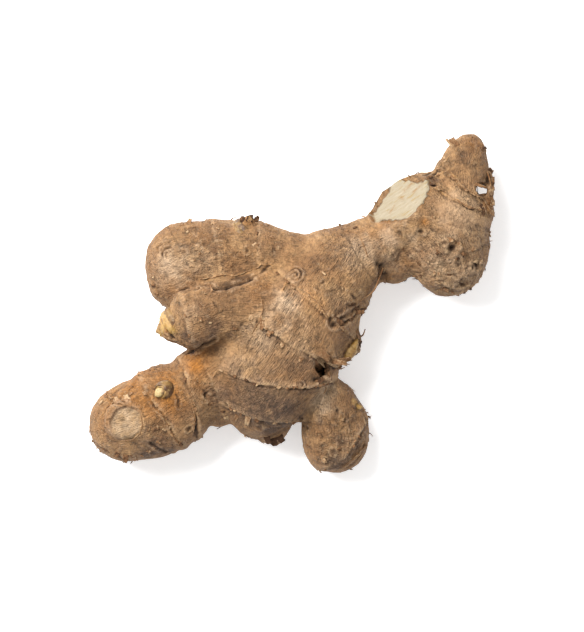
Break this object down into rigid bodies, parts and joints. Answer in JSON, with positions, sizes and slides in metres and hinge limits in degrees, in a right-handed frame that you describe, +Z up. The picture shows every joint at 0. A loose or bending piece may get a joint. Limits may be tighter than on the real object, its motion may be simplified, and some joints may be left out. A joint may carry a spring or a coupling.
{
  "type": "ginger root",
  "caption": "Whole knobbly ginger rhizome with side fingers, leaf-scar rings, buds and one snapped face, lying on its low lobes.",
  "frame": {"origin": "middle of the base of the bounding box, on the surface that the rhizome lies on", "axes": "+X along the longest extent, from the low left finger towards the knob; +Z up through the thickness, the shortest extent; +Y from the low right finger towards the stub on the knob"},
  "size_m": [0.1298, 0.1088, 0.033],
  "materials": {
    "rhizome_skin": "dry matt corky skin with fine fibres, paler where it was snapped"
  },
  "bodies": {
    "root": {"rhizome": "rhizome_skin"}
  },
  "joints": []
}
